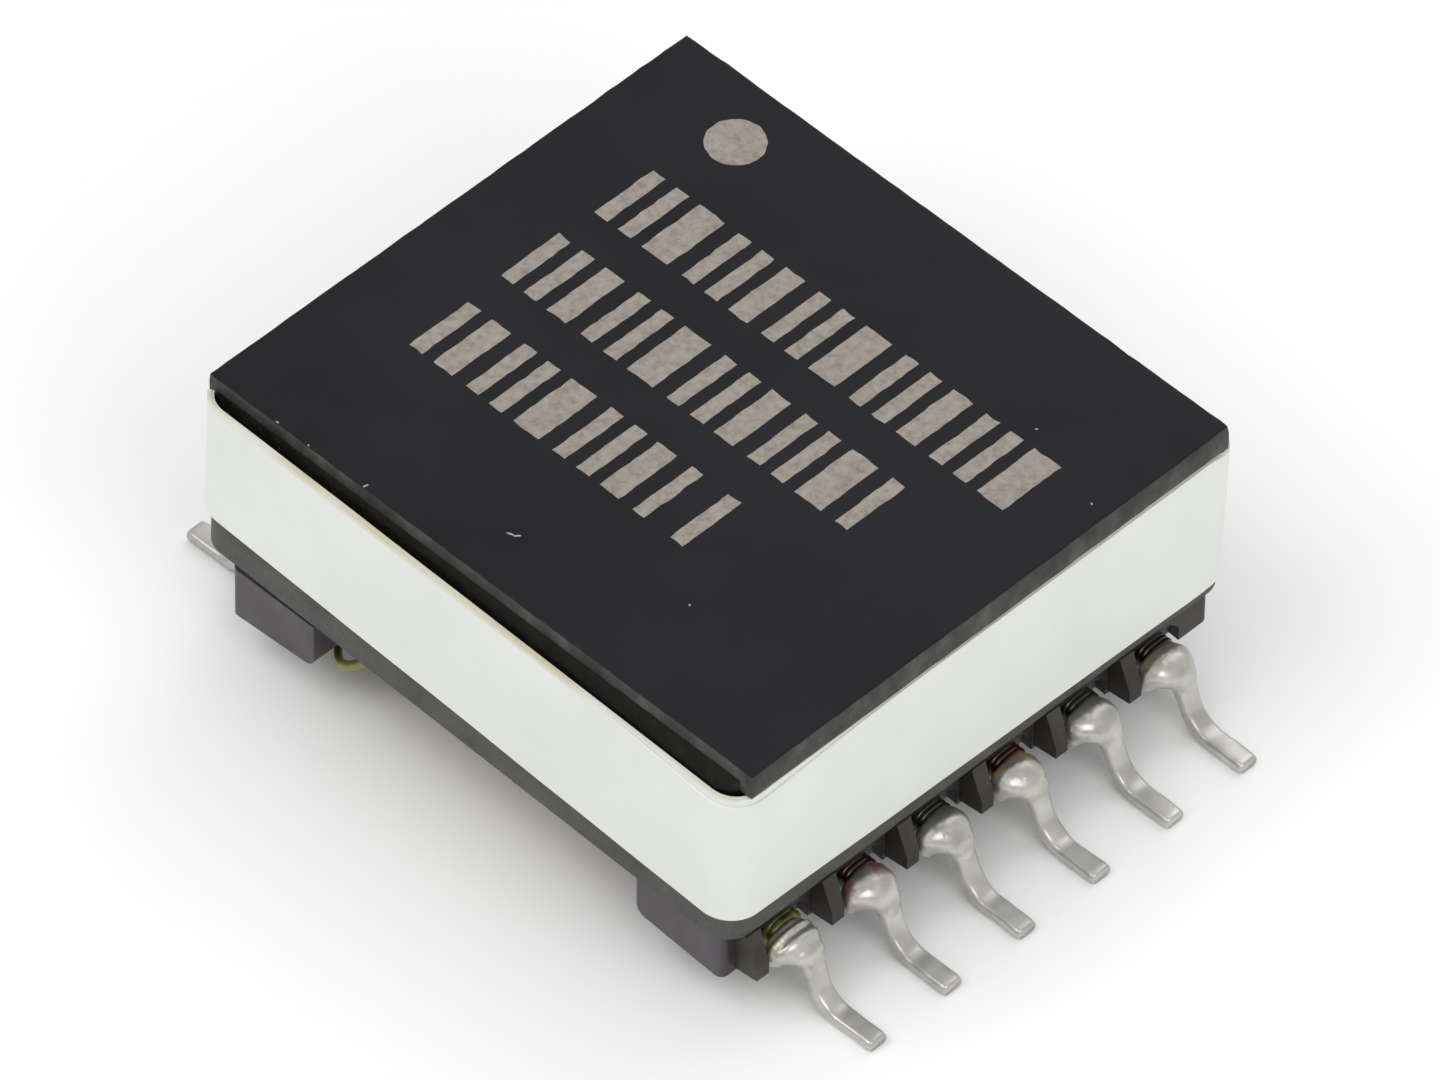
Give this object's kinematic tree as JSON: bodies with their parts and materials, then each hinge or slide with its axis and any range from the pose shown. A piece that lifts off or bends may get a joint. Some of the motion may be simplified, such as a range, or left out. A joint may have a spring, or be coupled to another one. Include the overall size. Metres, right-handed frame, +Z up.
{
  "type": "surface-mount power transformer",
  "caption": "Surface-mount transformer with a flat ferrite core bound in white tape, a black cover plate and two rows of gull-wing terminals",
  "frame": {"origin": "On the board under the centre of the overall box, at the level of the terminal soles", "axes": "X across the two terminal rows, Y along the rows, Z up from the board"},
  "size_m": [0.023, 0.0172, 0.0087],
  "materials": {
    "cover_resin": "very dark grey moulded sheet, fine matt grain",
    "adhesive": "dark olive-brown cured adhesive",
    "ferrite": "sintered grey ferrite, slightly grainy",
    "white_tape": "white polyester tape, faint layer lines",
    "bobbin_resin": "dark phenolic moulding, satin",
    "winding_wire": "enamelled copper wire in close turns",
    "insulated_wire": "yellow-green insulated wire",
    "layer_tape": "thin clear yellow film",
    "tinned_lead": "tin-plated, slightly lumpy from dipping",
    "solder": "solder with flux tint over wire turns"
  },
  "bodies": {
    "root": {"bobbin": "bobbin_resin", "coil_outer_wrap": "layer_tape", "core_binding_tape": "white_tape", "core_half_left": "ferrite", "core_half_right": "ferrite", "cover_adhesive": "adhesive", "cover_plate": "cover_resin", "layer_tape_1": "layer_tape", "layer_tape_2": "layer_tape", "layer_tape_3": "layer_tape", "layer_tape_4": "layer_tape", "layer_tape_5": "layer_tape", "lead_wire_01": "insulated_wire", "lead_wire_02": "insulated_wire", "lead_wire_03": "insulated_wire", "lead_wire_04": "insulated_wire", "lead_wire_05": "insulated_wire", "lead_wire_06": "insulated_wire", "lead_wire_07": "insulated_wire", "lead_wire_08": "winding_wire", "lead_wire_09": "winding_wire", "lead_wire_10": "winding_wire", "lead_wire_11": "winding_wire", "lead_wire_12": "winding_wire", "solder_joint_01": "solder", "solder_joint_02": "solder", "solder_joint_03": "solder", "solder_joint_04": "solder", "solder_joint_05": "solder", "solder_joint_06": "solder", "solder_joint_07": "solder", "solder_joint_08": "solder", "solder_joint_09": "solder", "solder_joint_10": "solder", "solder_joint_11": "solder", "solder_joint_12": "solder", "terminal_01": "tinned_lead", "terminal_02": "tinned_lead", "terminal_03": "tinned_lead", "terminal_04": "tinned_lead", "terminal_05": "tinned_lead", "terminal_06": "tinned_lead", "terminal_07": "tinned_lead", "terminal_08": "tinned_lead", "terminal_09": "tinned_lead", "terminal_10": "tinned_lead", "terminal_11": "tinned_lead", "terminal_12": "tinned_lead", "winding_auxiliary_inner": "winding_wire", "winding_auxiliary_outer": "winding_wire", "winding_primary_inner": "winding_wire", "winding_primary_outer": "winding_wire", "winding_secondary_inner": "winding_wire", "winding_secondary_outer": "winding_wire"}
  },
  "joints": []
}
